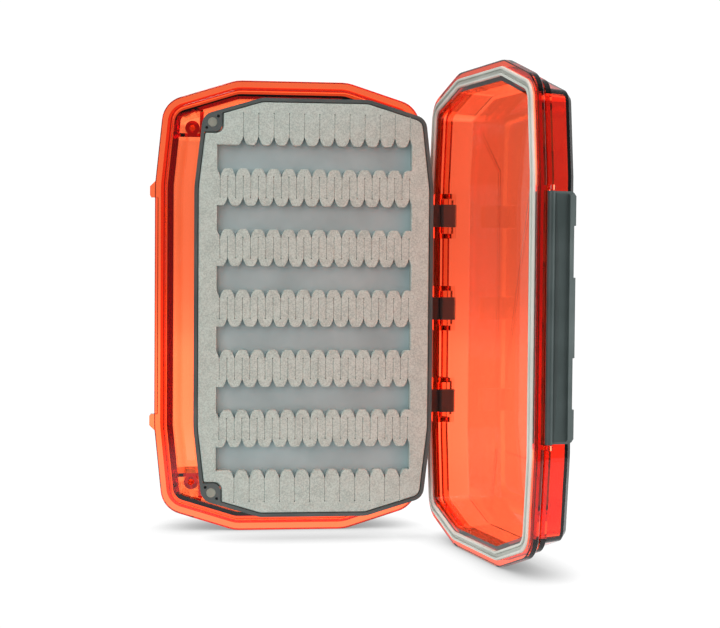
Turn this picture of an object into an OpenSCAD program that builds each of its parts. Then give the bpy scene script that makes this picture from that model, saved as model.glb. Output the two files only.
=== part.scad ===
// Fly box: two matching translucent shells joined along one long side by three
// hinge pins, a grey seal in the lid's rim, an over-centre latch on the other long
// side, and a foam swing leaf that turns on clips in the lid's hinge-side wall.
//
// Case frame: X across the width, Y along the length, Z out of the base; the base's
// rim plane is Z = 0, the base lies below it and the closed lid above it.
// The finished part stands on its lower end: case Y is up and case Z faces -Y.

/* [Case outline] */
// Length over the flanges
case_l = 155; // [140:1:175]
// Width over the flanges
case_w = 93.6; // [86:0.2:104]
// Width of the flat at each end
end_flat = 38.2; // [30:0.2:46]
// Length of the straight part of each long side
side_straight = 83; // [80:1:90]
// How far each corner comes in from the long side
corner_in = 2.9; // [1.5:0.1:4.5]
// How far each corner drops from the end
corner_drop = 7.8; // [5:0.1:10]
// Radius of the four corners at the flange
corner_r = 9; // [7:0.5:12]
// Radius where the end flats turn into the slopes
end_r = 12; // [8:1:18]
// Radius where the straight sides turn into the tapers
side_r = 30; // [15:1:40]

/* [Shells] */
// Outer depth of the base shell
base_depth = 25; // [20:0.5:32]
// Outer depth of the lid shell
lid_depth = 14.4; // [12.8:0.1:20]
// Thickness of both rim flanges
flange_t = 2.7; // [2.2:0.1:3.4]
// Chamfer on the flange edges
edge_c = 0.3; // [0.1:0.05:0.6]
// Height of the groove behind each flange
groove_t = 1.4; // [1:0.1:2]
// Depth of that groove, from the flange's edge
groove_in = 3.6; // [3:0.1:4]
// Height of the stiffening rib behind the groove
rib_t = 1.7; // [1:0.1:2.4]
// How far the rib stands back from the flange's edge
rib_in = 2; // [1.2:0.1:2.8]
// How far the bowl's wall stands back from the flange's edge
wall_in = 4.25; // [4.1:0.05:5]
// Thickness of the bowl's wall
wall_t = 2.1; // [1.6:0.1:2.6]
// Thickness of the bowl's floor
floor_t = 2; // [1.4:0.1:2.6]
// Draft of the wall from rib to bevel
draft = 0.65; // [0.3:0.05:1.2]
// Height of the bevel round the base's floor
base_bevel_h = 3.4; // [2:0.2:5]
// Width of the bevel round the base's floor
base_bevel_w = 3.6; // [2:0.2:5]
// Height of the bevel round the lid's top
lid_bevel_h = 1.6; // [1.6:0.1:2.4]
// Width of the bevel round the lid's top
lid_bevel_w = 1.8; // [1.2:0.1:4]
// Rise of the lid's shallow crown
crown_h = 0.3; // [0.1:0.1:0.8]
// Distance of the crown's crease from the flange's edge
crown_in = 32; // [24:1:36]
// Gap between the two flanges when the lid is shut
rim_gap = 0.8; // [0.7:0.05:1.2]

/* [Seal] */
// Distance of the seal's centre line from the flange's edge
seal_in = 3.45; // [3.3:0.05:3.6]
// Width of the seal
seal_w = 3; // [2.6:0.1:3.2]
// Depth of the seal's channel in the lid's flange
seal_channel = 1.4; // [1:0.1:1.8]
// How far the seal's two lips stand out of the lid's rim
seal_proud = 0.65; // [0.4:0.05:0.65]
// Width of the groove between the two lips
seal_groove = 1.1; // [1.1:0.1:1.4]
// Width of the base's sealing ridge
ridge_w = 0.85; // [0.6:0.05:0.95]
// Height of the base's sealing ridge
ridge_h = 0.7; // [0.4:0.05:0.75]

/* [Main hinge] */
// Distance of the hinge axis outside the flanges
hinge_out = 2.8; // [2.8:0.1:3.6]
// Height of the hinge axis above the base's rim
hinge_up = 4.35; // [3.8:0.05:5.2]
// Distance between two hinge stations
hinge_pitch = 31.5; // [24:0.5:36]
// Radius of a hinge pin
pin_r = 1.2; // [0.9:0.1:1.3]
// Running clearance round every pin
pin_clear = 0.05; // [0.02:0.01:0.08]
// Radius of the knuckles and lugs
knuckle_r = 2.45; // [2.1:0.05:2.5]
// Width of a base knuckle
knuckle_w = 11.6; // [8:0.2:13]
// Thickness of a lid lug
lug_t = 1.6; // [1.2:0.1:2.4]
// Side gap between a knuckle and its lugs
lug_gap = 0.2; // [0.1:0.05:0.4]
// How far the lid stands open as it rests
lid_open = 100; // [20:1:120]

/* [Latch] */
// Length of the latch
latch_l = 73.4; // [60:0.2:80]
// Distance of the latch axis outside the flanges
latch_out = 0.3; // [0.2:0.05:0.6]
// Height of the latch axis above the lid's rim
latch_up = 4; // [4:0.1:4.6]
// Radius of the latch's barrel
barrel_r = 1.15; // [1:0.05:1.2]
// Thickness of the latch's plate
plate_t = 2; // [1.6:0.1:2.2]
// Reach of the plate from the latch axis
latch_reach = 8.15; // [7.8:0.05:8.5]
// Thickness of the base's lip that the hook catches
catch_t = 0.6; // [0.5:0.05:0.8]
// How far the hook reaches in under that lip
hook_in = 0.65; // [0.5:0.05:0.9]
// Depth of the bevel along the latch's free edge
edge_bevel = 0.6; // [0.4:0.05:0.9]
// Depth of the hollow facet beside the latch's barrel
hollow_d = 0.6; // [0.3:0.05:0.8]
// Width of that facet in the middle of the latch
hollow_w = 1.5; // [0.8:0.1:2]
// Length over which the facet narrows towards each end
hollow_l = 20; // [8:1:26]
// Bevel round the latch's two ends
latch_end_c = 0.7; // [0.3:0.1:0.9]
// Clearance between the shut latch and the flanges
latch_clear = 0.25; // [0.15:0.05:0.4]
// Radius of the latch's pin
latch_pin_r = 0.6; // [0.45:0.05:0.65]
// Width of the lugs that hold the latch's pin
latch_lug_w = 1.4; // [1.2:0.1:2]
// How far the latch has folded back from shut as it rests
latch_fold = 180; // [90:1:184]
// How far the latch's guards stand out of the base's flange
guard_out = 1.7; // [1:0.1:2.4]
// Length of a guard's flat
guard_l = 3.8; // [2:0.2:6]
// Length of the finger notches in the latch's free edge
finger_l = 15; // [8:0.5:20]
// Depth of the finger notches
finger_d = 0.75; // [0.3:0.05:0.8]
// Distance between the finger notches
finger_pitch = 38.4; // [24:0.4:44]

/* [Swing leaf] */
// Gap between the leaf and the side walls
leaf_gap = 0.5; // [0.4:0.05:1]
// Gap between the leaf and the end walls
leaf_end_gap = 1.5; // [1:0.1:2.5]
// Height of the leaf's face above the base's rim when shut
leaf_face = 1.85; // [1:0.05:2.5]
// Thickness of each foam sheet
foam_t = 3.2; // [2.6:0.1:3.6]
// Thickness of the leaf's middle plate
web_t = 2.2; // [2:0.1:2.8]
// Thickness of the frame's front lip
lip_t = 1.4; // [1:0.1:1.8]
// Width of the frame's front lip
lip_w = 1.15; // [1:0.05:1.6]
// Gap round the foam
foam_gap = 0.35; // [0.2:0.05:0.6]
// Width of the frame's middle band
band_w = 2.9; // [2.7:0.1:3.4]
// Set-back of the frame behind its lip, on the latch side
set_back = 1.65; // [1.3:0.05:2]
// Chamfer of the frame's back edge, on the hinge side
heel_c = 2; // [1.4:0.1:2.4]
// Distance of the leaf's axis inside its hinge-side edge
leaf_axis_in = 1.27; // [1.2:0.01:1.5]
// Radius of a leaf pin
leaf_pin_r = 0.75; // [0.5:0.05:0.8]
// Length of a leaf pin
leaf_pin_l = 13; // [11.5:0.5:16]
// How far the leaf is turned towards the lid as it rests
leaf_turn = 0; // [0:1:60]

/* [Leaf clips] */
// Width of a clip
clip_w = 7.6; // [6:0.1:9]
// Radius of a clip's eye
eye_r = 1.55; // [1.3:0.05:1.7]
// Thickness of a clip's strap
strap_t = 1.15; // [0.9:0.05:1.2]
// Thickness of a clip's body in the lid
clip_t = 2.9; // [2:0.1:3.4]
// Height of the clip's top above the lid's rim
clip_top = 7.35; // [6:0.05:7.6]
// Height of the clip's body above the leaf's face
clip_lift = 0.75; // [0.4:0.05:1.5]
// Side clearance of a clip
clip_clear = 0.3; // [0.2:0.05:0.4]
// Width of the raised pads that back the clips
pad_w = 15.1; // [12:0.1:18]
// Height of the raised pads above the lid's rim
pad_top = 8; // [7.6:0.1:9]
// How far the raised pads stand out of the wall
pad_out = 1.2; // [0.8:0.1:1.6]

/* [Foam teeth] */
// Number of windows in a foam sheet
windows = 6; // [4:1:6]
// Distance from window to window
window_pitch = 20.05; // [18:0.05:21]
// Height of a window
window_h = 7.8; // [6:0.1:9]
// Width of a window
window_w = 65; // [60:0.5:67]
// Distance from tooth to tooth
tooth_pitch = 5.06; // [4.4:0.02:5.2]
// Number of teeth along a full edge
teeth = 12; // [8:1:12]
// Depth of the notch between two teeth
notch_d = 2.3; // [1.5:0.1:2.8]
// Width of the notch at its mouth
notch_w = 2.4; // [1.6:0.1:3]

/* [Corner magnets and posts] */
// Distance of a magnet from the leaf's latch-side edge
magnet_x = 5.9; // [5.4:0.1:6.6]
// Distance of a magnet from the leaf's end
magnet_y = 8.25; // [7.6:0.05:9]
// Radius of a magnet
magnet_r = 1.55; // [1.2:0.05:1.7]
// Thickness of a magnet
magnet_t = 2; // [1.2:0.1:3]
// Half the size of a magnet's corner tab beyond the magnet
tab_reach = 3.2; // [2.8:0.1:3.6]
// Rounding of a corner tab
tab_r = 2.6; // [1.5:0.1:2.8]
// Depth of a corner tab behind the leaf's face
tab_t = 7.1; // [5.6:0.1:7.4]
// Gap between a corner tab and its post
post_gap = 0.25; // [0.2:0.05:0.4]
// Outer radius of a post
post_r = 2.5; // [2:0.1:3]
// Radius of the hole in a post
post_hole_r = 1.05; // [0.6:0.05:1.4]
// Depth of the hole in a post
post_hole_d = 10; // [5:0.5:14]
// Thickness of the ribs beside a post
post_rib_t = 1.3; // [0.8:0.1:1.8]
// Distance of those ribs from the post's axis
post_rib_x = 3.2; // [2.9:0.1:4]
// Radius of the two moulding holes beside a magnet
tiny_r = 0.5; // [0.3:0.05:0.6]

/* [Hidden] */

round_fn = 48;          // facets of every true round
corner_steps = 8;       // steps in a corner's arc
bend_steps = 2;         // steps in the arcs of the gentle bends
eps = 0.01;             // overlap that fuses two solids of one piece
cut = 1;                // how far a cutter runs past what it cuts

half_w = case_w / 2;
half_l = case_l / 2;
cavity_in = wall_in + wall_t;              // inner wall, from the flange's edge
rib_top = flange_t + groove_t + rib_t;     // top of the rib, from the rim
stations = [hinge_pitch, 0, -hinge_pitch]; // upper, middle and lower hinge

// hinge axis and leaf axis, in the case frame with the lid shut
axis_x = half_w + hinge_out;
axis_z = hinge_up;
leaf_half_w = half_w - cavity_in - leaf_gap;
leaf_t = 2 * foam_t + web_t;
pivot_x = leaf_half_w - leaf_axis_in;
pivot_z = leaf_face - leaf_t / 2;

// ---- outlines ---------------------------------------------------------------

// Twelve-sided outline, counter-clockwise from the lower end of the right side
function outline(l, w, flat, straight, in, drop) = let(
    quarter = [[w / 2, straight / 2], [w / 2 - in, l / 2 - drop], [flat / 2, l / 2]]
) concat(
    [[quarter[0][0], -quarter[0][1]]], quarter,
    [for (p = [quarter[2], quarter[1], quarter[0]]) [-p[0], p[1]]],
    [for (p = quarter) [-p[0], -p[1]]],
    [for (p = [quarter[2], quarter[1]]) [p[0], -p[1]]]
);

// Rounding of each vertex of outline(), and the steps of its arc
function vertex_radii(side, corner, end) =
    [side, side, corner, end, end, corner, side, side, corner, end, end, corner];
vertex_steps = vertex_radii(bend_steps, corner_steps, bend_steps);

function unit(v) = v / norm(v);
function inward(a, b) = let(d = unit(b - a)) [-d[1], d[0]];

// A convex counter-clockwise polygon with every side moved in by d
function moved_in(poly, d) = let(n = len(poly)) [
    for (i = [0 : n - 1]) let(
        before = inward(poly[(i + n - 1) % n], poly[i]),
        after = inward(poly[i], poly[(i + 1) % n])
    ) poly[i] + d * (before + after) / (1 + before * after)
];

// The same polygon with an arc at every vertex
function rounded(poly, radii) = let(n = len(poly)) [
    for (i = [0 : n - 1]) let(
        before = inward(poly[(i + n - 1) % n], poly[i]),
        after = inward(poly[i], poly[(i + 1) % n]),
        centre = poly[i] + radii[i] * (before + after) / (1 + before * after),
        from = atan2(-before[1], -before[0]),
        turn = acos(min(1, before * after)),
        steps = vertex_steps[i]
    ) for (k = [0 : steps])
        let(a = from + turn * k / steps) centre + radii[i] * [cos(a), sin(a)]
];

least_r = 0.6;          // a rounding never gets sharper than this
function shrunk(radii, d) = [for (r = radii) max(least_r, r - d)];

case_outline = outline(case_l, case_w, end_flat, side_straight, corner_in, corner_drop);
case_radii = vertex_radii(side_r, corner_r, end_r);
function case_ring(d) = rounded(moved_in(case_outline, d), shrunk(case_radii, d));

leaf_l = case_l - 2 * (cavity_in + leaf_end_gap);
leaf_outline = outline(leaf_l, 2 * leaf_half_w, end_flat - 2.6, side_straight - 3,
    corner_in - 0.15, corner_drop - 1.95);
leaf_radii = vertex_radii(side_r, corner_r / 2, end_r / 2);
function leaf_ring(d) = rounded(moved_in(leaf_outline, d), shrunk(leaf_radii, d));

// ---- solids built on the case outline ------------------------------------------

// Stacked rings [z, inset] from low to high, as one closed solid
module loft(profile) {
    rings = [for (p = profile) [for (q = case_ring(p[1])) [q[0], q[1], p[0]]]];
    n = len(rings[0]);
    last = len(rings) - 1;
    polyhedron(
        points = [for (r = rings) each r],
        faces = concat(
            [[for (i = [0 : n - 1]) i]],
            [[for (i = [n - 1 : -1 : 0]) last * n + i]],
            [for (k = [0 : last - 1], i = [0 : n - 1]) let(j = (i + 1) % n)
                each [[k * n + i, (k + 1) * n + i, (k + 1) * n + j],
                      [k * n + i, (k + 1) * n + j, k * n + j]]]
        )
    );
}

// A closed cross-section [inset, z], clockwise, swept once round the outline
module swept_ring(section) {
    m = len(section);
    rings = [for (p = section) [for (q = case_ring(p[0])) [q[0], q[1], p[1]]]];
    n = len(rings[0]);
    polyhedron(
        points = [for (r = rings) each r],
        faces = [for (k = [0 : m - 1], i = [0 : n - 1]) let(h = (k + 1) % m, j = (i + 1) % n)
            each [[k * n + i, h * n + i, h * n + j], [k * n + i, h * n + j, k * n + j]]]
    );
}

// A prism across the case: a section in X and Z, centred on y
module across(w, y = 0) {
    translate([0, y, 0]) rotate([90, 0, 0]) linear_extrude(w, center = true) children();
}

module rod(x, z, r, w, y = 0) {
    translate([x, y, z]) rotate([90, 0, 0]) cylinder(r = r, h = w, center = true, $fn = round_fn);
}

// One shell with its rim at Z = 0 and its bowl towards +Z
function shell_outside(depth, bevel_h, bevel_w) = [
    [0, edge_c], [edge_c, 0], [flange_t - edge_c, 0], [flange_t, edge_c],
    [flange_t, groove_in], [flange_t + groove_t, groove_in],
    [flange_t + groove_t, rib_in], [rib_top, rib_in], [rib_top, wall_in],
    [depth - bevel_h, wall_in + draft], [depth, wall_in + draft + bevel_w]
];
function shell_inside(depth, bevel_h, bevel_w) = [
    [-cut, cavity_in], [0, cavity_in], [depth - bevel_h - floor_t / 4, cavity_in + draft],
    [depth - floor_t, cavity_in + draft + bevel_w - floor_t / 4]
];

// ---- placing --------------------------------------------------------------------

// From the case frame to the part's own frame, standing on the lower end
module standing() {
    translate([0, -flange_t / 2, half_l]) rotate([90, 0, 0]) children();
}

// What turns with the lid, drawn with the lid shut
module with_lid() {
    standing() translate([axis_x, 0, axis_z]) rotate([0, lid_open, 0])
        translate([-axis_x, 0, -axis_z]) children();
}

// What turns with the leaf, drawn with the leaf shut
module with_leaf() {
    with_lid() translate([pivot_x, 0, pivot_z]) rotate([0, leaf_turn - lid_open, 0])
        translate([-pivot_x, 0, -pivot_z]) children();
}

latch_x = -half_w - latch_out;
latch_z = rim_gap + latch_up;

// What turns with the latch, drawn with the latch shut
module with_latch() {
    with_lid() translate([latch_x, 0, latch_z]) rotate([0, latch_fold, 0])
        translate([-latch_x, 0, -latch_z]) children();
}

// ---- base shell --------------------------------------------------------------------

strap_x0 = leaf_half_w + 0.2;              // the strap passes this side of the leaf's edge
strap_x1 = strap_x0 + strap_t;
latch_tip = latch_z - latch_reach;         // free edge of the shut latch
hook_top = -catch_t - latch_clear / 2;     // what bears on the base's lip
post_x = -leaf_half_w + magnet_x;
post_y = leaf_l / 2 - magnet_y;
post_top = leaf_face - tab_t - post_gap;
base_floor = -base_depth + floor_t;

module base_posts() {
    rib_x = post_x + post_rib_x;
    rib_y = post_y - post_r;
    for (s = [-1, 1]) {
        translate([post_x, s * post_y, -base_depth + eps])
            cylinder(r = post_r, h = post_top + base_depth - eps, $fn = round_fn);
        intersection() {
            loft([[-base_depth + eps, cavity_in + draft + base_bevel_w - floor_t],
                  [-base_depth + base_bevel_h, cavity_in + draft - wall_t / 2],
                  [post_top, cavity_in - wall_t / 2]]);
            union() {
                translate([rib_x - post_rib_t / 2, s * rib_y - (s > 0 ? 0 : half_l), -base_depth])
                    cube([post_rib_t, half_l, base_depth + post_top]);
                translate([-half_w, s * rib_y - post_rib_t / 2, -base_depth])
                    cube([half_w + rib_x + post_rib_t / 2, post_rib_t, base_depth + post_top]);
            }
        }
    }
}

module base_knuckle(y) {
    arm_x = axis_x - knuckle_r;
    across(knuckle_w, y) polygon([
        [half_w - flange_t, -flange_t + edge_c], [half_w - flange_t, -eps],
        [arm_x, -eps], [arm_x, axis_z], [axis_x + knuckle_r, axis_z],
        [axis_x + knuckle_r, edge_c], [arm_x + knuckle_r, -flange_t + edge_c]
    ]);
    rod(axis_x, axis_z, knuckle_r, knuckle_w, y);
}

// The two stops on the base's flange that stand at the ends of the shut latch
module latch_guards() {
    y0 = latch_l / 2 + 0.4;
    x0 = -half_w - guard_out;
    for (s = [0, 1]) mirror([0, s, 0]) translate([0, 0, -flange_t + edge_c])
        linear_extrude(flange_t - 2 * edge_c) polygon([
            [-half_w + flange_t / 2, y0], [x0 + 0.5, y0], [x0, y0 + 0.8],
            [x0, y0 + guard_l], [-half_w + edge_c, y0 + guard_l + guard_out + edge_c],
            [-half_w + flange_t / 2, y0 + guard_l + guard_out]
        ]);
}

module base_shell() {
    color([0.95, 0.35, 0.16, 0.75]) standing() difference() {
        union() {
            difference() {
                mirror([0, 0, 1]) loft(shell_outside(base_depth, base_bevel_h, base_bevel_w));
                mirror([0, 0, 1]) loft(shell_inside(base_depth, base_bevel_h, base_bevel_w));
            }
            swept_ring([
                [seal_in - ridge_w / 2, -flange_t / 2], [seal_in - ridge_w / 2, ridge_h * 0.7],
                [seal_in - ridge_w / 4, ridge_h], [seal_in + ridge_w / 4, ridge_h],
                [seal_in + ridge_w / 2, ridge_h * 0.7], [seal_in + ridge_w / 2, -flange_t / 2]
            ]);
            base_posts();
            latch_guards();
            for (y = stations) base_knuckle(y);
        }
        for (s = [-1, 1]) translate([post_x, s * post_y, post_top - post_hole_d])
            cylinder(r = post_hole_r, h = post_hole_d + cut, $fn = round_fn);
        for (y = stations) {
            rod(axis_x, axis_z, pin_r + pin_clear, knuckle_w + cut, y);
            translate([leaf_half_w - leaf_gap, y - clip_w / 2 - clip_clear,
                       pivot_z - eye_r - 2 * clip_clear])
                cube([strap_x1 - leaf_half_w + leaf_gap + clip_clear, clip_w + 2 * clip_clear, half_l]);
        }
        // the catch: below a thin lip the flange's edge is cut back, and the hook enters there
        across(latch_l + 0.8) polygon([
            [-half_w - cut, -flange_t - cut], [-half_w - cut, -catch_t],
            [-half_w + hook_in + latch_clear, -catch_t],
            [-half_w + hook_in + latch_clear + 0.4, -flange_t - cut]
        ]);
    }
}

module hinge_pin(y) {
    color("silver") standing()
        rod(axis_x, axis_z, pin_r, knuckle_w + 2 * (lug_t + lug_gap), y);
}

// ---- lid shell ------------------------------------------------------------------------

function lid_outside() = concat(
    shell_outside(lid_depth - crown_h, lid_bevel_h, lid_bevel_w), [[lid_depth, crown_in]]
);
function lid_inside() = concat(
    shell_inside(lid_depth - crown_h, lid_bevel_h, lid_bevel_w), [[lid_depth - floor_t, crown_in]]
);

module lid_lug(y) {
    across(lug_t, y) polygon([
        [half_w - 1, rim_gap + edge_c], [half_w - edge_c, rim_gap + edge_c],
        [axis_x, axis_z - knuckle_r], [axis_x, axis_z + knuckle_r],
        [half_w - rib_in, rim_gap + rib_top + 1], [half_w - wall_in - draft, rim_gap + rib_top + 1],
        [half_w - wall_in - draft, rim_gap + flange_t - eps], [half_w - 1, rim_gap + flange_t - eps]
    ]);
    rod(axis_x, axis_z, knuckle_r, lug_t, y);
}

module latch_lug(y) {
    root_x = -half_w + groove_in + wall_t / 4;
    flange_top = rim_gap + flange_t - eps;
    across(latch_lug_w, y) polygon([
        [root_x, flange_top], [root_x, latch_z + barrel_r], [latch_x, latch_z + barrel_r],
        [latch_x, latch_z - barrel_r], [-half_w + edge_c, flange_top]
    ]);
    rod(latch_x, latch_z, barrel_r, latch_lug_w, y);
}

latch_lug_y = (latch_l + latch_lug_w) / 2 + latch_clear;
lid_lug_y = knuckle_w / 2 + lug_gap + lug_t / 2;

module lid_shell() {
    channel_half = seal_w / 2 + 0.05;
    color([0.93, 0.3, 0.15, 0.75]) with_lid() difference() {
        union() {
            translate([0, 0, rim_gap]) difference() {
                loft(lid_outside());
                loft(lid_inside());
                swept_ring([
                    [seal_in - channel_half, -cut], [seal_in - channel_half, seal_channel],
                    [seal_in + channel_half, seal_channel], [seal_in + channel_half, -cut]
                ]);
            }
            for (y = stations) {
                for (s = [-1, 1]) lid_lug(y + s * lid_lug_y);
                // the pad that backs the clip and fills the groove behind the flange
                across(pad_w, y) polygon([
                    [half_w - cavity_in + wall_t / 3, rim_gap + flange_t - eps],
                    [half_w - wall_in + pad_out, rim_gap + flange_t - eps],
                    [half_w - wall_in + pad_out, rim_gap + pad_top - pad_out],
                    [half_w - wall_in, rim_gap + pad_top],
                    [half_w - cavity_in + wall_t / 3, rim_gap + pad_top]
                ]);
            }
            for (s = [-1, 1]) latch_lug(s * latch_lug_y);
        }
        for (y = stations) {
            rod(axis_x, axis_z, pin_r + pin_clear, pad_w + 2 * cut, y);
            // the slot that the clip's strap sits in
            translate([leaf_half_w - cut, y - clip_w / 2 - pin_clear, rim_gap - cut])
                cube([strap_x1 - leaf_half_w + cut + pin_clear, clip_w + 2 * pin_clear,
                      clip_top + pin_clear + cut]);
        }
        rod(latch_x, latch_z, latch_pin_r + pin_clear, 2 * latch_lug_y + latch_lug_w + cut);
    }
}

module lid_gasket() {
    outer = seal_in - seal_w / 2;
    inner = seal_in + seal_w / 2;
    top = rim_gap + seal_channel - 0.05;
    root = rim_gap - 0.05;
    tip = rim_gap - seal_proud;
    groove = seal_groove / 2;
    color([0.78, 0.8, 0.76]) with_lid() swept_ring([
        [outer, root], [outer, top], [inner, top], [inner, root],
        [inner - 0.25, tip], [seal_in + groove + 0.1, tip], [seal_in + groove, root],
        [seal_in - groove, root], [seal_in - groove - 0.1, tip], [outer + 0.25, tip]
    ]);
}

// ---- latch --------------------------------------------------------------------------------

// Cutter of the hollow facet: its crease runs straight along the middle of the latch
// and closes in on the barrel towards both ends
module hollow_facet(face_x, top_z) {
    crease = top_z - hollow_w;
    rings = [for (p = [[-latch_l / 2 - cut, top_z - 0.3, 0.1], [hollow_l - latch_l / 2, crease, hollow_d],
                       [latch_l / 2 - hollow_l, crease, hollow_d], [latch_l / 2 + cut, top_z - 0.3, 0.1]])
        [[face_x + cut, p[0], p[1]], [face_x, p[0], p[1]],
         [face_x - p[2], p[0], top_z], [face_x + cut, p[0], top_z]]];
    polyhedron(
        points = [for (r = rings) each r],
        faces = concat(
            [[0, 1, 2, 3]], [[15, 14, 13, 12]],
            [for (k = [0 : 2], i = [0 : 3]) let(j = (i + 1) % 4)
                each [[4 * k + i, 4 * k + 4 + i, 4 * k + 4 + j], [4 * k + i, 4 * k + 4 + j, 4 * k + j]]]
        )
    );
}

module latch() {
    plate_x0 = -half_w - latch_clear - plate_t;
    plate_x1 = -half_w - latch_clear;
    color([0.29, 0.33, 0.33]) with_latch() difference() {
        union() {
            rod(latch_x, latch_z, barrel_r, latch_l);
            across(latch_l) polygon([
                [plate_x0 + 0.5, latch_z + 0.2], [plate_x0, latch_z - 0.6],
                [plate_x0, latch_tip + 0.5], [plate_x0 + 0.5, latch_tip],
                [plate_x1 - edge_bevel, latch_tip],
                [plate_x1 + hook_in, hook_top - 0.22], [plate_x1 + hook_in, hook_top - 0.12],
                [plate_x1, hook_top], [plate_x1, latch_z + 0.2]
            ]);
        }
        rod(latch_x, latch_z, latch_pin_r + pin_clear, latch_l + cut);
        hollow_facet(plate_x1, latch_z - barrel_r - 0.1);
        for (s = [-1, 1]) {
            // finger notches in the free edge
            translate([plate_x0 - cut, s * finger_pitch / 2 - finger_l / 2, latch_tip - cut])
                cube([plate_t + hook_in + 3 * cut, finger_l, finger_d + cut]);
            // the free edge's corners, and the inner face's edge at both ends
            translate([0, s * latch_l / 2, latch_tip]) rotate([s * 45, 0, 0])
                translate([plate_x0 - cut, -1, -1]) cube([plate_t + hook_in + 3 * cut, 2, 2]);
            translate([plate_x1, s * latch_l / 2, latch_tip - cut]) rotate([0, 0, s * 45])
                translate([-latch_end_c / sqrt(2), -2 * cut, 0])
                    cube([2 * cut, 4 * cut, latch_reach + cut - barrel_r - 0.2]);
        }
    }
}

module latch_pin() {
    color([0.93, 0.3, 0.15, 0.75]) with_lid()
        rod(latch_x, latch_z, latch_pin_r, 2 * latch_lug_y + latch_lug_w);
}

// ---- leaf clips and pins -----------------------------------------------------------------------

module leaf_clip(y) {
    body_z = leaf_face + clip_lift;
    top_z = rim_gap + clip_top;
    body_x = strap_x1 - clip_t;
    color([0.27, 0.3, 0.3]) with_lid() difference() {
        union() {
            across(clip_w, y) polygon([
                [strap_x1, top_z], [strap_x1, pivot_z - eye_r * 0.6], [strap_x1 - 0.6, pivot_z - eye_r],
                [pivot_x, pivot_z - eye_r], [pivot_x, pivot_z + eye_r], [strap_x0, pivot_z + eye_r],
                [strap_x0, body_z], [body_x + 0.6, body_z], [body_x, body_z + 0.6],
                [body_x, top_z - 0.8], [body_x + 0.8, top_z]
            ]);
            rod(pivot_x, pivot_z, eye_r, clip_w, y);
        }
        rod(pivot_x, pivot_z, leaf_pin_r + pin_clear, clip_w + cut, y);
    }
}

module leaf_pin(y) {
    color("silver") with_leaf() rod(pivot_x, pivot_z, leaf_pin_r, leaf_pin_l, y);
}

// ---- leaf --------------------------------------------------------------------------------------

// A layer of the leaf between two depths behind its face
module layer(from, to) {
    translate([0, 0, leaf_face - to]) linear_extrude(to - from) children();
}

// Behind the lip the frame is set back on the latch side only
module leaf_body_outline(back) {
    translate([back / 2, 0]) polygon(leaf_ring(back / 2));
}

module leaf_body() {
    layer(0, lip_t) polygon(leaf_ring(0));
    layer(lip_t - eps, foam_t) leaf_body_outline(set_back * 0.3);
    layer(foam_t - eps, leaf_t) leaf_body_outline(set_back);
}

rib_room = post_rib_x + post_rib_t / 2 + 0.3 - tab_reach; // what clears a post's ribs

// Outline of the two corner tabs, grown by g and rounded by r
module tab_outline(g, r = tab_r) {
    x1 = post_x + tab_reach + g;
    y0 = post_y - tab_reach - g;
    for (s = [0, 1]) mirror([0, s]) {
        translate([-half_w, y0 + r]) square([half_w + x1, half_l]);
        translate([-half_w, y0]) square([half_w + x1 - r, half_l]);
        translate([x1 - r, y0 + r]) circle(r = r, $fn = round_fn);
    }
}

// Room for a clip to turn in, behind the frame's lip
module clip_rooms() {
    reach = norm([strap_x1 - pivot_x, eye_r]) + clip_clear;
    for (y = stations) translate([pivot_x - reach, y - clip_w / 2 - clip_clear, leaf_face - leaf_t - cut])
        cube([reach + half_w, clip_w + 2 * clip_clear, leaf_t - lip_t + cut]);
}

module leaf_frame() {
    tiny = (tab_reach + magnet_r) / 2 * 0.8;
    color([0.29, 0.33, 0.33]) with_leaf() difference() {
        union() {
            difference() {
                leaf_body();
                layer(-cut, foam_t) polygon(leaf_ring(lip_w));
                layer(foam_t - eps, foam_t + web_t) polygon(leaf_ring(band_w));
                layer(foam_t, leaf_t + cut) polygon(leaf_ring(band_w + 0.5));
                layer(tab_t, leaf_t + cut) tab_outline(rib_room, post_rib_t);
            }
            intersection() {
                leaf_body();
                layer(0, tab_t) tab_outline(0);
            }
        }
        for (s = [-1, 1]) translate([post_x, s * post_y, leaf_face]) {
            translate([0, 0, -magnet_t - 0.1])
                cylinder(r = magnet_r + 0.05, h = magnet_t + cut, $fn = round_fn);
            for (t = [-1, 1]) translate([t * tiny, s * t * tiny, -lip_t])
                cylinder(r = tiny_r, h = lip_t + cut, $fn = round_fn);
        }
        clip_rooms();
        for (y = stations) rod(pivot_x, pivot_z, leaf_pin_r + pin_clear, leaf_pin_l + 0.2, y);
        // the heel that turns past the lid's seal
        across(case_l) polygon([
            [leaf_half_w - heel_c, leaf_face - leaf_t - eps], [leaf_half_w + cut, leaf_face - leaf_t - eps],
            [leaf_half_w + cut, leaf_face - leaf_t + heel_c + cut], [leaf_half_w, leaf_face - leaf_t + heel_c]
        ]);
    }
}

module leaf_plate() {
    color([0.6, 0.64, 0.65]) with_leaf() difference() {
        layer(foam_t, foam_t + web_t) difference() {
            polygon(leaf_ring(band_w + 0.1));
            tab_outline(0.15);
        }
        clip_rooms();
    }
}

// ---- foam ----------------------------------------------------------------------------------------

back_inset = band_w + 0.5 + foam_gap;
// the windows stay inside the sheets and clear of the corner tabs
window_across = min(window_w, 2 * (leaf_half_w - back_inset - 2));
window_room = post_y - tab_reach - rib_room - window_h / 2 - 1.5;
window_step = min(window_pitch, 2 * window_room / (windows - 1));
window_left = -window_across / 2;
tooth_left = window_left + 1;      // the teeth start this far from the window's end

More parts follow.
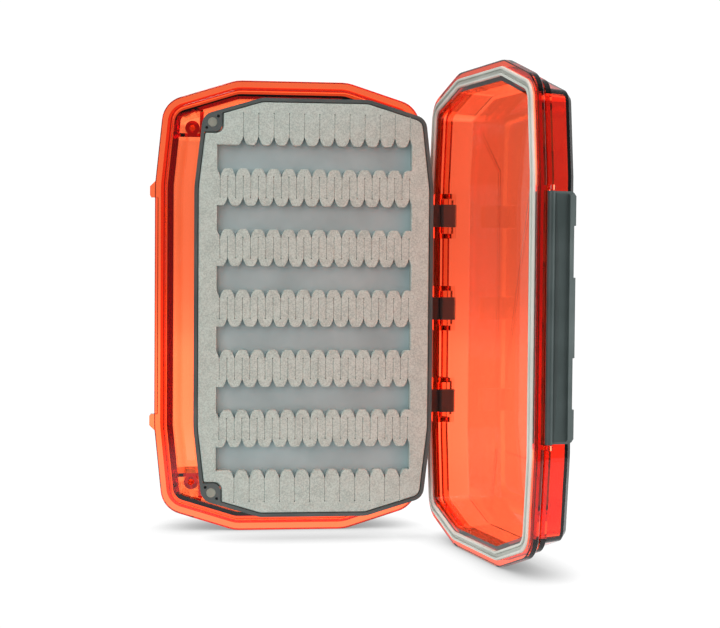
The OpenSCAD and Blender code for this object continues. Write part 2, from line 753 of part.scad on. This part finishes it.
// Notches between the teeth of one edge, opening towards -Y; skip leaves out the first
module notches(offset_x, skip) {
    for (k = [skip : teeth]) translate([tooth_left + offset_x + k * tooth_pitch, 0])
        polygon([[-notch_w / 2, -eps], [notch_w / 2, -eps], [0.35, notch_d - 0.5], [0, notch_d],
                 [-0.35, notch_d - 0.5]]);
}

// One foam sheet: borders, windows and toothed bars
module foam_outline(inset, tab_gap, r) {
    top = (windows - 1) / 2 * window_step;
    difference() {
        polygon(leaf_ring(inset));
        tab_outline(tab_gap, r);
        for (k = [0 : windows - 1]) translate([0, top - k * window_step]) {
            translate([window_left, -window_h / 2]) square([window_across, window_h]);
            intersection() {
                union() {
                    // above the window, the lower teeth of the bar above it
                    translate([0, window_h / 2]) notches(tooth_pitch / 2, k == 0 ? 1 : 0);
                    // below the window, the upper teeth of the bar below it
                    translate([0, -window_h / 2]) mirror([0, 1]) notches(0, k == windows - 1 ? 1 : 0);
                }
                square([window_across, window_h + 2 * notch_d + cut], center = true);
            }
        }
    }
}

module foam_front() {
    color([0.69, 0.7, 0.67]) with_leaf() difference() {
        layer(0, foam_t) foam_outline(lip_w + foam_gap, foam_gap + 0.1, tab_r);
        clip_rooms();
    }
}

module foam_back() {
    color([0.69, 0.7, 0.67]) with_leaf() difference() {
        layer(foam_t + web_t, leaf_t)
            foam_outline(back_inset, rib_room, post_rib_t / 2);
        clip_rooms();
    }
}

module leaf_magnet(side) {
    color("silver") with_leaf() translate([post_x, side * post_y, leaf_face - magnet_t - 0.1])
        cylinder(r = magnet_r, h = magnet_t, $fn = round_fn);
}

// ---- nodes ---------------------------------------------------------------------------------------

base_shell();
hinge_pin(stations[0]);  // hinge_pin_upper
hinge_pin(stations[1]);  // hinge_pin_middle
hinge_pin(stations[2]);  // hinge_pin_lower
lid_shell();
lid_gasket();
latch();
latch_pin();
leaf_clip(stations[0]);  // leaf_clip_upper
leaf_clip(stations[1]);  // leaf_clip_middle
leaf_clip(stations[2]);  // leaf_clip_lower
leaf_pin(stations[0]);  // leaf_pin_upper
leaf_pin(stations[1]);  // leaf_pin_middle
leaf_pin(stations[2]);  // leaf_pin_lower
leaf_frame();
leaf_plate();
foam_front();
foam_back();
leaf_magnet(1);  // leaf_magnet_upper
leaf_magnet(-1);  // leaf_magnet_lower
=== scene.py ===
import math

import bpy
from mathutils import Matrix, Vector
from mathutils.geometry import delaunay_2d_cdt


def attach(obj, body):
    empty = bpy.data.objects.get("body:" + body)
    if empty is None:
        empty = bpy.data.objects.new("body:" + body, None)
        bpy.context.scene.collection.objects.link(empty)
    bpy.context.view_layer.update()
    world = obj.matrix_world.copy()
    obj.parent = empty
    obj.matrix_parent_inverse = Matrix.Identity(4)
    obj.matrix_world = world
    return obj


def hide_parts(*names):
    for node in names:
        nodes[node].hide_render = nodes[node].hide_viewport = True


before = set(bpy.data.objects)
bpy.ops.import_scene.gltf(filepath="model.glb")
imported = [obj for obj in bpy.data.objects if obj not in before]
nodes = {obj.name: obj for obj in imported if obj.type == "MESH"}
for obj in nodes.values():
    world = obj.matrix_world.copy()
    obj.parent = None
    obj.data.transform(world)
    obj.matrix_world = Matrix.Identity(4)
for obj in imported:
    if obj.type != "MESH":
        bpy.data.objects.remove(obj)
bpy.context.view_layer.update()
scene = bpy.context.scene

# ---- case frame to row frame: X across, Y along the length, Z out of the base, in millimetres ----
HALF_L, FLANGE_T = 77.5, 2.7


def row(x, y, z):
    """A point of the case frame in the row frame, in metres."""
    return Vector((x, -z - FLANGE_T / 2, y + HALF_L)) / 1000


def turned(x, y, z):
    """A direction of the case frame in the row frame."""
    return Vector((x, -z, y))


# ---- camera, solved from the photograph ----
CAMERA_TURN = (("Z", -0.21), ("Y", 7.12), ("X", 2.00))  # degrees
CAMERA_AT = (23.84, -2.56, 545.2)  # millimetres, in the camera's own axes
FOCAL_PX, PHOTO_PX, SENSOR_MM = 1576.6, 720, 36

turn = Matrix.Identity(3)
for axis, angle in CAMERA_TURN:
    turn = turn @ Matrix.Rotation(math.radians(angle), 3, axis)
place = turn.transposed() @ Vector(CAMERA_AT)
axes = Matrix([turned(*turn[i]) for i in range(3)]).transposed()
cam = bpy.data.cameras.new("camera")
cam.sensor_fit = "HORIZONTAL"
cam.sensor_width = SENSOR_MM
cam.lens = FOCAL_PX * SENSOR_MM / PHOTO_PX
cam.clip_start, cam.clip_end = 0.01, 50
camera = bpy.data.objects.new("camera", cam)
scene.collection.objects.link(camera)
camera.matrix_world = Matrix.Translation(row(*place)) @ axes.to_4x4()
scene.camera = camera


# ---- shader nodes ----
def add(nt, kind, values=None, **settings):
    """A new node with its settings; values fills or links its inputs by name or number."""
    node = nt.nodes.new("ShaderNode" + kind)
    for key, value in settings.items():
        setattr(node, key, value)
    for key, value in (values or {}).items():
        if isinstance(value, bpy.types.NodeSocket):
            nt.links.new(value, node.inputs[key])
        else:
            node.inputs[key].default_value = value
    return node


def lin(*rgb):
    """An 8-bit display colour as a linear one."""
    return tuple(
        (c / 255 / 12.92) if c / 255 <= 0.04045 else ((c / 255 + 0.055) / 1.055) ** 2.4 for c in rgb
    ) + (1.0,)


def new_material(name):
    mat = bpy.data.materials.new(name)
    mat.use_nodes = True
    nt = mat.node_tree
    return mat, nt, nt.nodes["Principled BSDF"]


def noise(nt, scale, detail=4.0, rough=0.5, stretch=None):
    where = add(nt, "TexCoord").outputs["Object"]
    if stretch:
        where = add(nt, "Mapping", {"Vector": where, "Scale": stretch}).outputs["Vector"]
    tex = add(nt, "TexNoise", {"Vector": where, "Scale": scale, "Detail": detail, "Roughness": rough})
    return tex.outputs["Fac"]


def ramp(nt, fac, low, high, a=0.35, b=0.65):
    """From colour low where fac is a or less to colour high where it is b or more."""
    node = add(nt, "ValToRGB", {"Fac": fac})
    for element, at, colour in zip(node.color_ramp.elements, (a, b), (low, high)):
        element.position, element.color = at, colour
    return node.outputs["Color"]


def spread(nt, fac, low, high):
    return add(nt, "MapRange", {"Value": fac, "To Min": low, "To Max": high}).outputs["Result"]


def times(nt, a, b):
    return add(nt, "Math", {0: a, 1: b}, operation="MULTIPLY").outputs[0]


def bump(nt, shader, fac, strength, distance):
    node = add(nt, "Bump", {"Height": fac, "Strength": strength, "Distance": distance})
    nt.links.new(node.outputs["Normal"], shader.inputs["Normal"])


def within(nt, axis, low, high, soft=0.0001):
    """1 where an object coordinate lies between low and high, in metres."""
    where = add(nt, "SeparateXYZ", {0: add(nt, "TexCoord").outputs["Object"]}).outputs[axis]
    steps = [
        add(nt, "MapRange", {"Value": where, "From Min": edge - way * soft, "From Max": edge + way * soft})
        for edge, way in ((low, 1), (high, -1))
    ]
    return times(nt, *(step.outputs["Result"] for step in steps))


def painted_groove_shade(nt, colour, reach):
    """The colour, darkened with painted shade from ambient occlusion in what is narrower than reach."""
    near = add(nt, "AmbientOcclusion", {"Distance": reach}, samples=8).outputs["AO"]
    shade = ramp(nt, near, (0.18, 0.18, 0.17, 1), (1, 1, 1, 1), 0.3, 0.85)
    return add(nt, "Mix", {0: 1.0, 6: colour, 7: shade}, data_type="RGBA", blend_type="MULTIPLY").outputs[2]


# ---- materials ----
def moulded(name, low, high, rough=(0.32, 0.5), grain=2600, depth=0.00002, metallic=0.0, stretch=None, painted_shade_reach=0.0):
    """Moulded plastic, or metal: fine grain, slow drift of colour, uneven gloss."""
    mat, nt, p = new_material(name)
    fine = noise(nt, grain, 3, 0.6, stretch)
    colour = ramp(nt, noise(nt, 60, 3), low, high)
    # painted shade darkens hollows narrower than the given reach
    if painted_shade_reach:
        colour = painted_groove_shade(nt, colour, painted_shade_reach)
    nt.links.new(colour, p.inputs["Base Color"])
    nt.links.new(spread(nt, fine, *rough), p.inputs["Roughness"])
    p.inputs["Specular IOR Level"].default_value = 0.5
    p.inputs["Metallic"].default_value = metallic
    bump(nt, p, fine, 0.35, depth)
    return mat


# where the base's flange is cut back to a thin lip for the latch, in metres
LIP_X, LIP_Z = (-0.06, -0.0457), (0.0403, 0.1147)
LIP_SKIN = (1, 0.13, 0.05, 1)


def tinted(name, skin, depth, density, lip=False):
    """Clear tinted plastic: part of the tint comes with each wall, the rest with the depth of
    plastic that light crosses."""
    mat, nt, p = new_material(name)
    out = nt.nodes["Material Output"]
    wave = noise(nt, 210, 2)
    face = ramp(nt, noise(nt, 45, 3), tuple(0.97 * c for c in skin[:3]) + (1,), skin)
    if lip:
        # the thin lip is as deep in colour as the flange round it
        at_lip = times(nt, within(nt, "X", *LIP_X), within(nt, "Z", *LIP_Z))
        face = add(nt, "Mix", {0: at_lip, 6: face, 7: LIP_SKIN}, data_type="RGBA").outputs[2]
    nt.links.new(face, p.inputs["Base Color"])
    nt.links.new(spread(nt, wave, 0.02, 0.05), p.inputs["Roughness"])
    p.inputs["Transmission Weight"].default_value = 1.0
    p.inputs["IOR"].default_value = 1.49
    bump(nt, p, wave, 0.06, 0.0001)
    # to the lights it is nearly clear
    clear = add(nt, "BsdfTransparent", {"Color": (0.95, 0.95, 0.95, 1)}).outputs["BSDF"]
    shadow = add(nt, "LightPath").outputs["Is Shadow Ray"]
    mix = add(nt, "MixShader", {0: shadow, 1: p.outputs["BSDF"], 2: clear})
    nt.links.new(mix.outputs["Shader"], out.inputs["Surface"])
    inside = add(nt, "VolumeAbsorption", {"Color": depth, "Density": density})
    nt.links.new(inside.outputs["Volume"], out.inputs["Volume"])
    return mat


def foam_material(name, low, high):
    """Closed-cell foam: cells under half a millimetre wide over a slower mottle."""
    mat, nt, p = new_material(name)
    cells = noise(nt, 2400, 2, 0.7)
    both = add(nt, "Mix", {0: 0.25, 2: cells, 3: noise(nt, 260, 4, 0.6)}, data_type="FLOAT").outputs[0]
    # painted shade darkens the foam in its narrow gaps and slits
    colour = painted_groove_shade(nt, ramp(nt, both, low, high, 0.4, 0.6), 0.0008)
    nt.links.new(colour, p.inputs["Base Color"])
    nt.links.new(spread(nt, cells, 0.78, 0.98), p.inputs["Roughness"])
    p.inputs["Specular IOR Level"].default_value = 0.25
    p.inputs["Sheen Weight"].default_value = 0.12
    p.inputs["Sheen Roughness"].default_value = 0.5
    bump(nt, p, both, 0.55, 0.00012)
    return mat


shell = tinted("tinted_shell", (1, 0.25, 0.13, 1), (0.84, 0.376, 0.0, 1), 433, lip=True)
shell_lid = tinted("tinted_lid", (1, 0.22, 0.13, 1), (0.81, 0.33, 0.0, 1), 500)
# the seal's groove is darkened with painted shade
seal = moulded("seal_rubber", lin(205, 209, 200), lin(219, 222, 214), (0.5, 0.75), 1800, painted_shade_reach=0.0011)
dark = moulded("dark_grey_plastic", lin(52, 62, 61), lin(66, 76, 75))
frame_grey = moulded("frame_grey_plastic", lin(56, 66, 66), lin(72, 81, 80), (0.4, 0.6))
clip_grey = moulded("clip_grey_plastic", lin(42, 28, 26), lin(56, 38, 35), (0.35, 0.55))
plate_grey = moulded("plate_grey_plastic", lin(144, 163, 165), lin(158, 178, 180), (0.45, 0.65))
steel = moulded("drawn_steel", lin(150, 151, 152), lin(186, 187, 188), (0.2, 0.38), 900, 0.000004,
                metallic=1.0, stretch=(1, 1, 0.05))
nickel = moulded("magnet_nickel", lin(108, 112, 102), lin(146, 150, 138), (0.35, 0.6), 900, 0.00003,
                 metallic=0.4)
foam_look = foam_material("closed_cell_foam", lin(150, 162, 156), lin(176, 190, 183))

LOOKS = {
    "base_shell": shell, "lid_shell": shell_lid, "lid_gasket": seal, "latch": dark, "latch_pin": shell_lid,
    "hinge_pin_upper": steel, "hinge_pin_middle": steel, "hinge_pin_lower": steel,
    "leaf_clip_upper": clip_grey, "leaf_clip_middle": clip_grey, "leaf_clip_lower": clip_grey,
    "leaf_pin_upper": steel, "leaf_pin_middle": steel, "leaf_pin_lower": steel,
    "leaf_frame": frame_grey, "leaf_plate": plate_grey, "foam_front": foam_look, "foam_back": foam_look,
    "leaf_magnet_upper": nickel, "leaf_magnet_lower": nickel,
}
for name, mat in LOOKS.items():
    data = nodes[name].data
    data.materials.clear()
    data.materials.append(mat)


# ---- foam sheets, in millimetres: outline, windows and teeth as in the part's source, and the slits,
# which its solids leave out ----
CASE_L, CASE_HALF_W, CAVITY_IN, LEAF_GAP, END_GAP = 155, 46.8, 6.35, 0.5, 1.5
LEAF_HALF_W = CASE_HALF_W - CAVITY_IN - LEAF_GAP
LEAF_L = CASE_L - 2 * (CAVITY_IN + END_GAP)
END_FLAT, STRAIGHT, SIDE_IN, END_DROP = 35.6, 80, 2.75, 5.85
SIDE_R, CORNER_R, END_R, LEAST_R = 30, 4.5, 6, 0.6
MAGNET_X, MAGNET_Y, TAB_REACH, TAB_CUT = 5.9, 8.25, 3.2, 0.35
LEAF_FACE, FOAM_T, WEB_T, SKIN_GAP = 1.85, 3.2, 2.2, 0.02
FRONT_INSET, FRONT_TAB_GAP, FRONT_TAB_R, FRONT_SPREAD = 1.4, 0.4, 2.6, 0.36
BACK_INSET, BACK_TAB_GAP, BACK_TAB_R = 3.75, 1.0, 0.65
PITCH, WINDOWS, WINDOW_W, WINDOW_H = 20.05, 6, 65.0, 7.8
TOOTH, TEETH, NOTCH_D, NOTCH_W = 5.06, 12, 2.45, 2.3
SLIT_W, SLIT_L, END_SLIT_L = 0.03, 9.4, 10.3
SOFT, RIM_SOFT = 0.12, 0.35
SPREAD_FROM, SPREAD_TO = 0.75, 0.55  # depths below the face
WINDOW_END, EDGE_END = 1, 0.2  # from a window's end to its first tooth, and the least that is kept free
# the least step between two points, the slack in comparing them, and the decimals that match them
LEAST_STEP, NEAR, DECIMALS = 0.02, 0.01, 4
# where the leaf hangs at rest: its pivot has swung round the main hinge with the lid
AXIS = (49.6, 4.35)
PIVOT = (LEAF_HALF_W - 1.27, LEAF_FACE - (2 * FOAM_T + WEB_T) / 2)
OPEN = math.radians(100)
DX, DZ = PIVOT[0] - AXIS[0], PIVOT[1] - AXIS[1]
SHIFT = (
    AXIS[0] + DX * math.cos(OPEN) + DZ * math.sin(OPEN) - PIVOT[0],
    AXIS[1] - DX * math.sin(OPEN) + DZ * math.cos(OPEN) - PIVOT[1],
)


def outline(l, w, flat, straight, inn, drop):
    """The twelve corners of the leaf, counter-clockwise."""
    q = [(w / 2, straight / 2), (w / 2 - inn, l / 2 - drop), (flat / 2, l / 2)]
    pts = [(q[0][0], -q[0][1])] + q + [(-p[0], p[1]) for p in (q[2], q[1], q[0])]
    return [Vector(p) for p in pts + [(-p[0], -p[1]) for p in q] + [(p[0], -p[1]) for p in (q[2], q[1])]]


def inward(a, b):
    """The unit vector to the left of the way from a to b."""
    d = (b - a).normalized()
    return Vector((-d.y, d.x))


def moved_in(poly, d):
    """A closed polygon with every side moved d to its left; sharp corners are held back."""
    n, out = len(poly), []
    for i in range(n):
        a, b = inward(poly[i - 1], poly[i]), inward(poly[i], poly[(i + 1) % n])
        out.append(poly[i] + d * (a + b) / max(0.45, 1 + a.dot(b)))
    return out


def rounded(poly, radii, steps):
    """A polygon with its corners rounded, each to its own radius in its own number of steps."""
    n, out = len(poly), []
    for i in range(n):
        a, b = inward(poly[i - 1], poly[i]), inward(poly[i], poly[(i + 1) % n])
        c = poly[i] + radii[i] * (a + b) / (1 + a.dot(b))
        start, arc = math.atan2(-a.y, -a.x), math.acos(min(1, a.dot(b)))
        for k in range(steps[i] + 1):
            t = start + arc * k / steps[i]
            out.append(c + radii[i] * Vector((math.cos(t), math.sin(t))))
    return out


def ring(inset):
    """The leaf's rounded outline, moved in."""
    poly = moved_in(outline(LEAF_L, 2 * LEAF_HALF_W, END_FLAT, STRAIGHT, SIDE_IN, END_DROP), inset)
    radii = [max(LEAST_R, r - inset) for r in (SIDE_R, SIDE_R, CORNER_R, END_R, END_R, CORNER_R) * 2]
    return rounded(poly, radii, [3, 3, 8, 4, 4, 8] * 2)


def crossing(pts, axis, level, side):
    """Where a closed outline crosses a level of one axis (0 or 1): the furthest out on that side of the
    other axis."""
    found = []
    for i, p in enumerate(pts):
        q = pts[(i + 1) % len(pts)]
        if (p[axis] - level) * (q[axis] - level) <= 0 and p[axis] != q[axis]:
            rise = q[1 - axis] - p[1 - axis]
            found.append(p[1 - axis] + rise * (level - p[axis]) / (q[axis] - p[axis]))
    return max(found) if side > 0 else min(found)


def tab_corner(pts, x1, y0, r, s):
    """The stepped edge round the tab at the upper (s 1) or lower (s -1) end, from the sheet's end to
    its side."""
    end_y, side_x = crossing(pts, 0, x1, s), crossing(pts, 1, s * y0, -1)
    arc = [
        Vector((x1 - r + r * math.cos(t), s * (y0 + r - r * math.sin(t))))
        for t in (math.radians(90 * k / 8) for k in range(9))
    ]
    return (
        [Vector((x1 + LEAST_STEP, end_y))] + arc
        + [Vector((side_x + TAB_CUT, s * y0)), Vector((side_x, s * (y0 - TAB_CUT)))]
    )


def sheet_outer(inset, gap, r):
    """The sheet's outer edge, stepped in round the two corner tabs on the latch side."""
    x1 = -LEAF_HALF_W + MAGNET_X + TAB_REACH + gap
    y0 = LEAF_L / 2 - MAGNET_Y - TAB_REACH - gap
    pts = ring(inset)
    keep = [p for p in pts if not (p.x < x1 and abs(p.y) > y0)]
    out = []
    for i, p in enumerate(keep):
        out.append(p)
        q = keep[(i + 1) % len(keep)]
        if p.y > y0 and p.x > x1 - NEAR and q.x < x1 and q.y < y0 + NEAR:
            out += tab_corner(pts, x1, y0, r, 1)
        if q.y < -y0 and q.x > x1 - NEAR and p.x < x1 and p.y > -y0 - NEAR:
            out += tab_corner(pts, x1, y0, r, -1)[::-1]
    return out


def toothed_edge(centres, y, s, slit):
    """A window's edge from left to right: at each centre a notch goes s (up or down) into the foam,
    with a slit from its tip."""
    h = NOTCH_W / 2
    # the left side of a notch (across, into the foam), then of its slit, with a round end
    side = [(-h - 0.55, 0.0), (-h - 0.12, 0.16), (-h * 0.72, 0.75), (-h * 0.42, 1.45), (-0.14, NOTCH_D - 0.12)]
    left = side + [(-SLIT_W / 2, NOTCH_D + 0.35), (-SLIT_W / 2, slit), (-0.17, slit + 0.16), (0, slit + 0.32)]
    shape = left + [(-a, b) for a, b in reversed(left[:-1])]
    return [
        Vector((min(max(c + a, -WINDOW_W / 2), WINDOW_W / 2), y + s * b)) for c in centres for a, b in shape
    ]


def windows():
    """The toothed windows, each clockwise; the teeth of facing edges stand half a pitch apart."""
    holes = []
    top = (WINDOWS - 1) / 2 * PITCH
    half = WINDOW_W / 2
    left = -half + WINDOW_END
    for k in range(WINDOWS):
        cy = top - k * PITCH
        hi, lo = cy + WINDOW_H / 2, cy - WINDOW_H / 2
        up = [left + TOOTH / 2 + j * TOOTH for j in range(1 if k == 0 else 0, TEETH + 1)]
        down = [left + j * TOOTH for j in range(1 if k == WINDOWS - 1 else 0, TEETH + 1)]
        up, down = ([c for c in centres if -half + EDGE_END < c < half - EDGE_END] for centres in (up, down))
        pts = [Vector((-half, lo)), Vector((-half, hi))]
        pts += toothed_edge(up, hi, 1, END_SLIT_L if k == 0 else SLIT_L)
        pts += [Vector((half, hi)), Vector((half, lo))]
        pts += toothed_edge(down, lo, -1, END_SLIT_L if k == WINDOWS - 1 else SLIT_L)[::-1]
        clean = []
        for p in pts:
            if not clean or (p - clean[-1]).length > LEAST_STEP:
                clean.append(p)
        holes.append(clean)
    return holes


def region_test(loops):
    """Even-odd test against all loops."""
    def inside(c):
        hit = False
        for pts in loops:
            for i, (xi, yi) in enumerate(pts):
                xj, yj = pts[i - 1]
                if (yi > c.y) != (yj > c.y) and c.x < (xj - xi) * (c.y - yi) / (yj - yi) + xi:
                    hit = not hit
        return hit
    return inside


def walls(verts, faces, loop, levels, s):
    """The sides of a loop through its levels of (inset, height); gives its lowest and highest ring."""
    rings = []
    for inset_by, z in levels:
        start = len(verts)
        verts += [(p.x, p.y, z) for p in (moved_in(loop, inset_by) if inset_by else loop)]
        rings.append(list(range(start, len(verts))))
    n = len(loop)
    for a, b in zip(rings, rings[1:]):
        for i in range(n):
            j = (i + 1) % n
            quad = (a[i], a[j], b[j], b[i])
            faces.append(quad if s > 0 else quad[::-1])
    return rings[0], rings[-1]


def cap(verts, faces, rings, flip):
    """A level face between the outer ring and the windows' rings."""
    ids = [i for loop in rings for i in loop]
    bounds, at = [], 0
    for loop in rings:
        bounds.append(list(range(at, at + len(loop))))
        at += len(loop)
    co, _, tris = delaunay_2d_cdt([Vector(verts[i][:2]) for i in ids], [], bounds, 0, 1e-7)[:3]
    inside = region_test([[verts[i][:2] for i in loop] for loop in rings])
    z = verts[ids[0]][2]
    known = {(round(verts[i][0], DECIMALS), round(verts[i][1], DECIMALS)): i for i in ids}
    for t in tris:
        if not inside(sum((co[i] for i in t), Vector((0, 0))) / 3):
            continue
        face = []
        for i in t:
            key = (round(co[i].x, DECIMALS), round(co[i].y, DECIMALS))
            if key not in known:
                known[key] = len(verts)
                verts.append((co[i].x, co[i].y, z))
            face.append(known[key])
        faces.append(tuple(face[::-1]) if flip else tuple(face))


def foam_sheet(name, inset, gap, r, z_face, z_back, node, spread_by=0.0):
    """A sheet from z_face (shown, softened edge) to z_back, with toothed windows."""
    verts, faces, first, last = [], [], [], []
    s = 1 if z_face > z_back else -1
    # the foam lies to the left of the outer loop (counter-clockwise) and of each hole (clockwise)
    for k, loop in enumerate([sheet_outer(inset, gap, r)] + windows()):
        soft = SOFT if k else RIM_SOFT
        edge = [(0.0, z_face - s * soft * 1.1), (soft * 0.3, z_face - s * soft * 0.35), (soft, z_face)]
        body = [(0.0, z_back)]
        if k == 0:
            # the sheet's body spreads under the frame's lip
            body = [(-spread_by, z_back), (-spread_by, z_face - s * SPREAD_FROM), (0.0, z_face - s * SPREAD_TO)]
        low, high = walls(verts, faces, loop, body + edge, s)
        first.append(low)
        last.append(high)
    cap(verts, faces, last, s < 0)
    cap(verts, faces, first, s > 0)
    mesh = bpy.data.meshes.new(name)
    mesh.from_pydata([row(x + SHIFT[0], y, z + SHIFT[1]) for x, y, z in verts], [], faces)
    mesh.validate()
    mesh.update()
    ob = bpy.data.objects.new(name, mesh)
    scene.collection.objects.link(ob)
    mesh.materials.append(foam_look)
    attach(ob, "leaf")
    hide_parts(node)


foam_sheet("foam_front_slotted", FRONT_INSET, FRONT_TAB_GAP, FRONT_TAB_R,
           LEAF_FACE - SKIN_GAP, LEAF_FACE - FOAM_T + SKIN_GAP, "foam_front", FRONT_SPREAD)
foam_sheet("foam_back_slotted", BACK_INSET, BACK_TAB_GAP, BACK_TAB_R,
           LEAF_FACE - 2 * FOAM_T - WEB_T + SKIN_GAP, LEAF_FACE - FOAM_T - WEB_T - SKIN_GAP, "foam_back")

# ---- floor: an evenly lit white sweep with a painted shadow only where the box stands on it or close above it ----
FLOOR_HALF, FLOOR_MID = 3, (0.03, -0.04, 0)
# reach and levels of the painted contact shadow, then the floor's glow as seen through the plastic
SHADE_REACH, SHADE_LEAST, SHADE_MOST, SEEN_THROUGH = 0.015, 0.3, 1.04, 2.2
FADE_FROM, FADE_TO = 0.12, 0.3

floor_mesh = bpy.data.meshes.new("floor")
floor_mesh.from_pydata(
    [(x * FLOOR_HALF, y * FLOOR_HALF, 0) for x, y in ((-1, -1), (1, -1), (1, 1), (-1, 1))], [], [(0, 1, 2, 3)]
)
floor = bpy.data.objects.new("floor", floor_mesh)
scene.collection.objects.link(floor)
floor_mat, nt, unused = new_material("pale_floor")
nt.nodes.remove(unused)
# painted contact shadow: ambient occlusion dims the floor's glow where the box stands close above it
near = add(nt, "AmbientOcclusion", {"Distance": SHADE_REACH}, samples=12).outputs["AO"]
shade = add(nt, "MapRange", {
    "Value": near, "From Min": 0.1, "From Max": 0.95, "To Min": SHADE_LEAST, "To Max": SHADE_MOST,
}).outputs["Result"]
# through the plastic it is as bright as the sweep behind it
through = add(nt, "LightPath").outputs["Is Transmission Ray"]
power = add(nt, "Mix", {0: through, 2: shade, 3: SEEN_THROUGH}, data_type="FLOAT").outputs[0]
white = ramp(nt, noise(nt, 30), (0.995, 0.995, 0.995, 1), (1, 1, 1, 1))
glow = add(nt, "Emission", {"Color": white, "Strength": power})
# it thins out into the white backdrop with the distance from the box
where = add(nt, "TexCoord").outputs["Object"]
far = add(nt, "VectorMath", {0: where, 1: FLOOR_MID}, operation="DISTANCE").outputs["Value"]
fade = add(nt, "MapRange", {"Value": far, "From Min": FADE_FROM, "From Max": FADE_TO},
           interpolation_type="SMOOTHSTEP").outputs["Result"]
gone = add(nt, "BsdfTransparent").outputs["BSDF"]
thin = add(nt, "MixShader", {0: fade, 1: glow.outputs[0], 2: gone})
nt.links.new(thin.outputs["Shader"], nt.nodes["Material Output"].inputs["Surface"])
floor_mesh.materials.append(floor_mat)


# ---- lights ----
def softbox(name, at, aim, size, power):
    """A square lamp at one point, aimed at another; its side in metres, its power in watts."""
    data = bpy.data.lights.new(name, "AREA")
    data.shape = "RECTANGLE"
    data.size = data.size_y = size
    data.energy = power
    ob = bpy.data.objects.new(name, data)
    scene.collection.objects.link(ob)
    ob.location = at
    ob.rotation_euler = (Vector(aim) - Vector(at)).to_track_quat("-Z", "Y").to_euler()
    return ob


BOX_MID, LID_MID = (0.02, -0.02, 0.08), (0.06, -0.08, 0.08)
softbox("key_above", (-0.25, -0.38, 1.1), BOX_MID, 0.8, 7.0)
side_right = softbox("side_right", (0.9, 0.0, 0.22), LID_MID, 1.3, 29.0)
side_right.visible_glossy = False
softbox("front_left", (-0.6, -1.1, 0.45), BOX_MID, 1.0, 6.0)

# ---- world: what the room gives to matt surfaces, in reflections, through the plastic and as backdrop ----
ROOM, BACKDROP = 0.4, 1.05
# strength of the backlight by the height of the direction it comes from; the curve's two ends come first
BACKLIGHT = (
    (-0.2, 2.4), (0.2, 2.3),
    (-0.07, 2.3), (-0.04, 1.7), (0.0, 1.25), (0.06, 1.2), (0.125, 1.2), (0.145, 2.2),
)
LOW_END, HIGH_END = BACKLIGHT[0][0], BACKLIGHT[1][0]
CURVE_TOP = 2.5  # a curve node holds values up to 1
# the studio is dark on the camera's side and to its left
BRIGHT_SIDE, SIDE_FROM, SIDE_TO, MIRROR_LEAST, MIRROR_MOST = (0.8, 1, 0), -0.25, 0.3, 0.15, 0.52

world = bpy.data.worlds.new("studio")
scene.world = world
world.use_nodes = True
nt = world.node_tree
way = add(nt, "TexCoord").outputs["Generated"]
height = add(nt, "SeparateXYZ", {0: way}).outputs["Z"]
span = add(nt, "MapRange", {"Value": height, "From Min": LOW_END, "From Max": HIGH_END})
levels = add(nt, "FloatCurve", {"Factor": 1.0, "Value": span.outputs["Result"]})
points = levels.mapping.curves[0].points
for i, (z, level) in enumerate(BACKLIGHT):
    at = ((z - LOW_END) / (HIGH_END - LOW_END), level / CURVE_TOP)
    if i < 2:
        points[i].location = at
    else:
        points.new(*at)
levels.mapping.update()
backlight = times(nt, levels.outputs["Value"], CURVE_TOP)
aside = add(nt, "VectorMath", {0: way, 1: BRIGHT_SIDE}, operation="DOT_PRODUCT").outputs["Value"]
mirror = add(nt, "MapRange", {
    "Value": aside, "From Min": SIDE_FROM, "From Max": SIDE_TO, "To Min": MIRROR_LEAST, "To Max": MIRROR_MOST,
}).outputs["Result"]
path = add(nt, "LightPath")
# light that a matt surface gets through the plastic is the room's, not the backlight
direct = add(nt, "Math", {0: path.outputs["Diffuse Depth"], 1: 0.5}, operation="LESS_THAN").outputs[0]
clear = times(nt, path.outputs["Is Transmission Ray"], direct)
strength = ROOM
rays = (
    (path.outputs["Is Glossy Ray"], mirror),
    (clear, backlight),
    (path.outputs["Is Camera Ray"], BACKDROP),
)
for ray, level in rays:
    strength = add(nt, "Mix", {0: ray, 2: strength, 3: level}, data_type="FLOAT").outputs[0]
back = nt.nodes["Background"]
back.inputs["Color"].default_value = (1, 1, 1, 1)
nt.links.new(strength, back.inputs["Strength"])

scene.view_settings.view_transform = "Standard"
scene.view_settings.look = "None"
